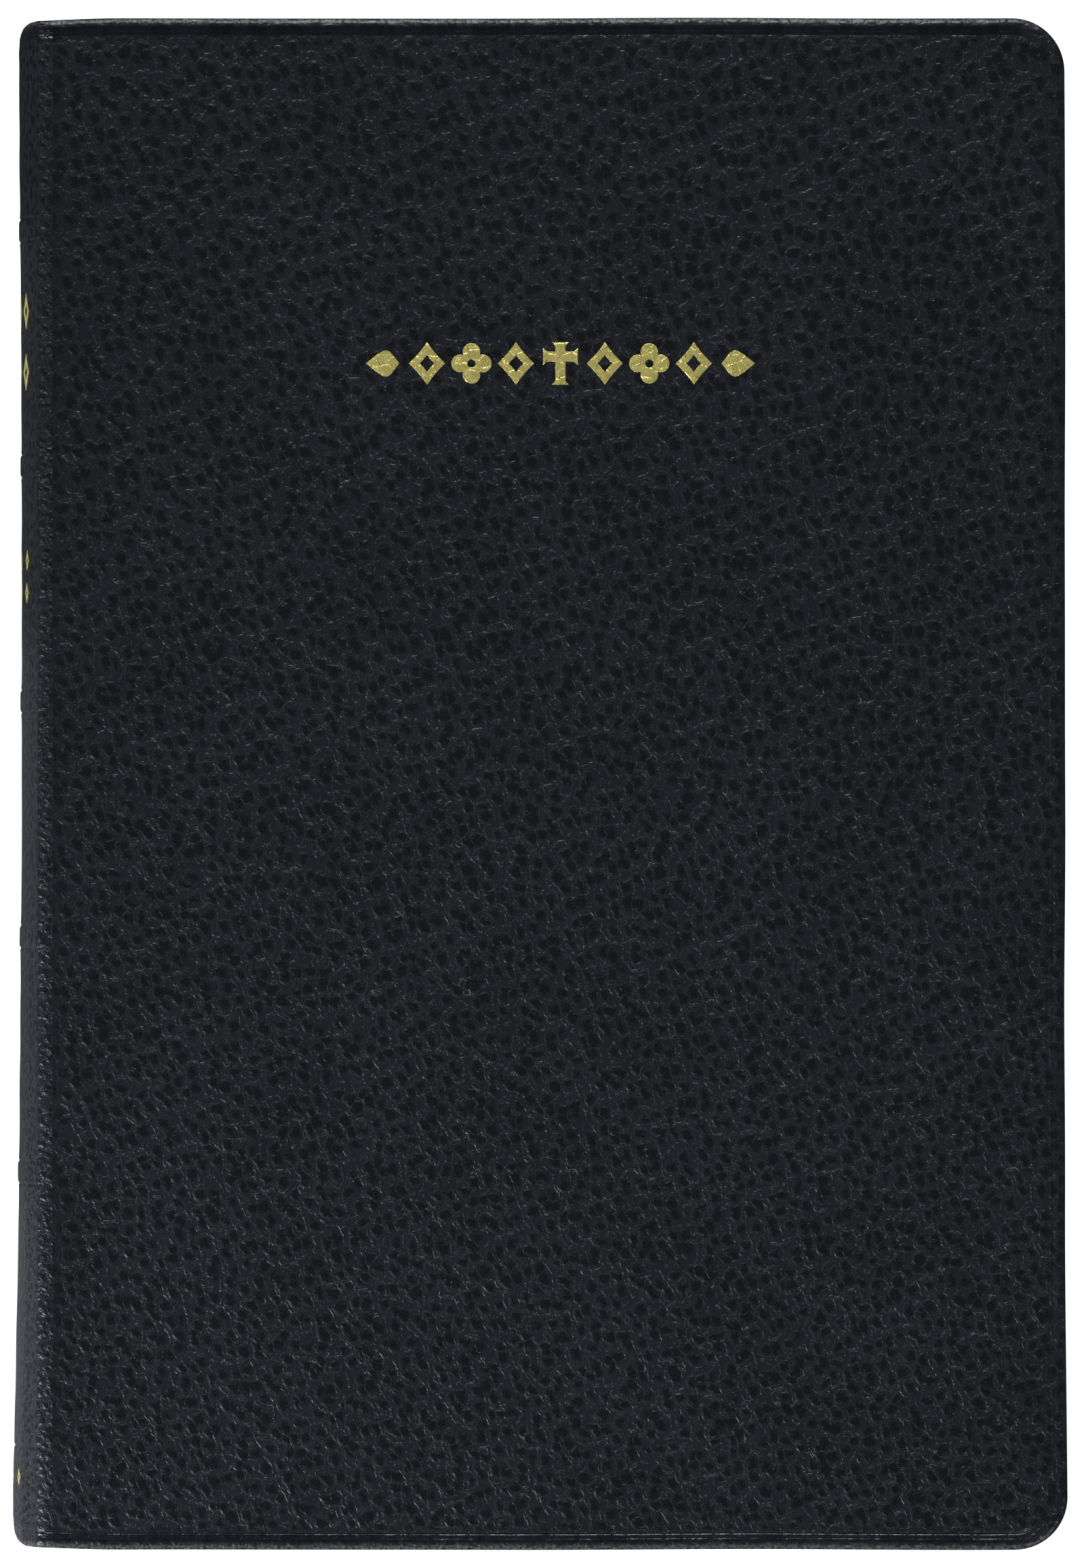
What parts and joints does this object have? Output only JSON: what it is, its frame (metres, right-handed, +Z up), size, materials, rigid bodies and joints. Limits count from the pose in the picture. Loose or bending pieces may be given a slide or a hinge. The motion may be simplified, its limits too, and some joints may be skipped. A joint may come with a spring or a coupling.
{
  "type": "bible",
  "caption": "Leather-bound bible that lies closed on its back cover; both covers open on flexible joints and the leaves next to them turn over with them.",
  "frame": {"origin": "middle of the footprint, on the surface that the closed book lies on", "axes": "+X from the spine to the fore-edge, +Y from tail to head, +Z up through the front cover"},
  "size_m": [0.147, 0.216, 0.033],
  "materials": {
    "cover_leather": "pebble grain, satin",
    "spine_leather": "fine grain, satin",
    "board": "matt grey board",
    "lining_paper": "matt",
    "mull_cloth": "open weave",
    "endpaper": "matt laid paper",
    "gold_foil": "stamped foil",
    "endband_silk": "wound thread",
    "sewing_thread": "linen thread",
    "bible_paper": "thin leaves, gilt edges"
  },
  "bodies": {
    "text_block": {"spine_leather": "spine_leather", "spine_foil": "gold_foil", "spine_stiffener": "board", "spine_hollow": "lining_paper", "spine_mull": "mull_cloth", "headband": "endband_silk", "tailband": "endband_silk", "front_section_folds": "bible_paper", "back_section_folds": "bible_paper", "spine_band_1": "board", "spine_band_2": "board", "spine_band_3": "board", "spine_band_4": "board", "spine_band_5": "board", "sewing_thread_1": "sewing_thread", "sewing_thread_2": "sewing_thread", "sewing_thread_3": "sewing_thread", "sewing_thread_4": "sewing_thread", "sewing_thread_5": "sewing_thread", "sewing_thread_6": "sewing_thread", "section_04": "bible_paper", "section_05": "bible_paper", "section_06": "bible_paper", "section_07": "bible_paper", "section_08": "bible_paper", "section_09": "bible_paper", "section_10": "bible_paper", "section_11": "bible_paper", "section_12": "bible_paper", "section_13": "bible_paper", "section_14": "bible_paper", "section_15": "bible_paper", "section_16": "bible_paper", "section_17": "bible_paper", "section_18": "bible_paper"},
    "front_cover": {"front_leather": "cover_leather", "front_board": "board", "front_infill": "lining_paper", "front_mull_flap": "mull_cloth", "front_pastedown": "endpaper", "title_foil": "gold_foil"},
    "front_endleaf": {"front_flyleaf": "endpaper"},
    "front_leaves_1": {"section_01": "bible_paper"},
    "front_leaves_2": {"section_02": "bible_paper"},
    "front_leaves_3": {"section_03": "bible_paper"},
    "back_cover": {"back_leather": "cover_leather", "back_board": "board", "back_infill": "lining_paper", "back_mull_flap": "mull_cloth", "back_pastedown": "endpaper"},
    "back_endleaf": {"back_flyleaf": "endpaper"},
    "back_leaves_1": {"section_20": "bible_paper"},
    "back_leaves_2": {"section_19": "bible_paper"}
  },
  "joints": [
    {"name": "front_cover_open", "type": "hinge", "parent": "text_block", "child": "front_cover", "pos_m": [-0.06921, 0, 0.0332], "axis": [0, -1, 0], "range_deg": [0, 178]},
    {"name": "back_cover_open", "type": "hinge", "parent": "text_block", "child": "back_cover", "pos_m": [-0.06921, 0, -0.0002], "axis": [0, 1, 0], "range_deg": [0, 178]},
    {"name": "front_endleaf_turn", "type": "hinge", "parent": "text_block", "child": "front_endleaf", "pos_m": [-0.06921, 0, 0.0332], "axis": [0, -1, 0], "range_deg": [0, 178]},
    {"name": "front_leaves_1_turn", "type": "hinge", "parent": "text_block", "child": "front_leaves_1", "pos_m": [-0.06921, 0, 0.0332], "axis": [0, -1, 0], "range_deg": [0, 178]},
    {"name": "front_leaves_2_turn", "type": "hinge", "parent": "text_block", "child": "front_leaves_2", "pos_m": [-0.06921, 0, 0.0332], "axis": [0, -1, 0], "range_deg": [0, 178]},
    {"name": "front_leaves_3_turn", "type": "hinge", "parent": "text_block", "child": "front_leaves_3", "pos_m": [-0.06921, 0, 0.0332], "axis": [0, -1, 0], "range_deg": [0, 178]},
    {"name": "back_endleaf_turn", "type": "hinge", "parent": "text_block", "child": "back_endleaf", "pos_m": [-0.06921, 0, -0.0002], "axis": [0, 1, 0], "range_deg": [0, 178]},
    {"name": "back_leaves_1_turn", "type": "hinge", "parent": "text_block", "child": "back_leaves_1", "pos_m": [-0.06921, 0, -0.0002], "axis": [0, 1, 0], "range_deg": [0, 178]},
    {"name": "back_leaves_2_turn", "type": "hinge", "parent": "text_block", "child": "back_leaves_2", "pos_m": [-0.06921, 0, -0.0002], "axis": [0, 1, 0], "range_deg": [0, 178]}
  ],
  "couplings": [
    {"joint": "front_endleaf_turn", "follows": "front_cover_open", "ratio": 0.992},
    {"joint": "front_leaves_1_turn", "follows": "front_cover_open", "ratio": 0.985},
    {"joint": "front_leaves_2_turn", "follows": "front_cover_open", "ratio": 0.976},
    {"joint": "front_leaves_3_turn", "follows": "front_cover_open", "ratio": 0.966},
    {"joint": "back_endleaf_turn", "follows": "back_cover_open", "ratio": 0.992},
    {"joint": "back_leaves_1_turn", "follows": "back_cover_open", "ratio": 0.985},
    {"joint": "back_leaves_2_turn", "follows": "back_cover_open", "ratio": 0.976}
  ]
}
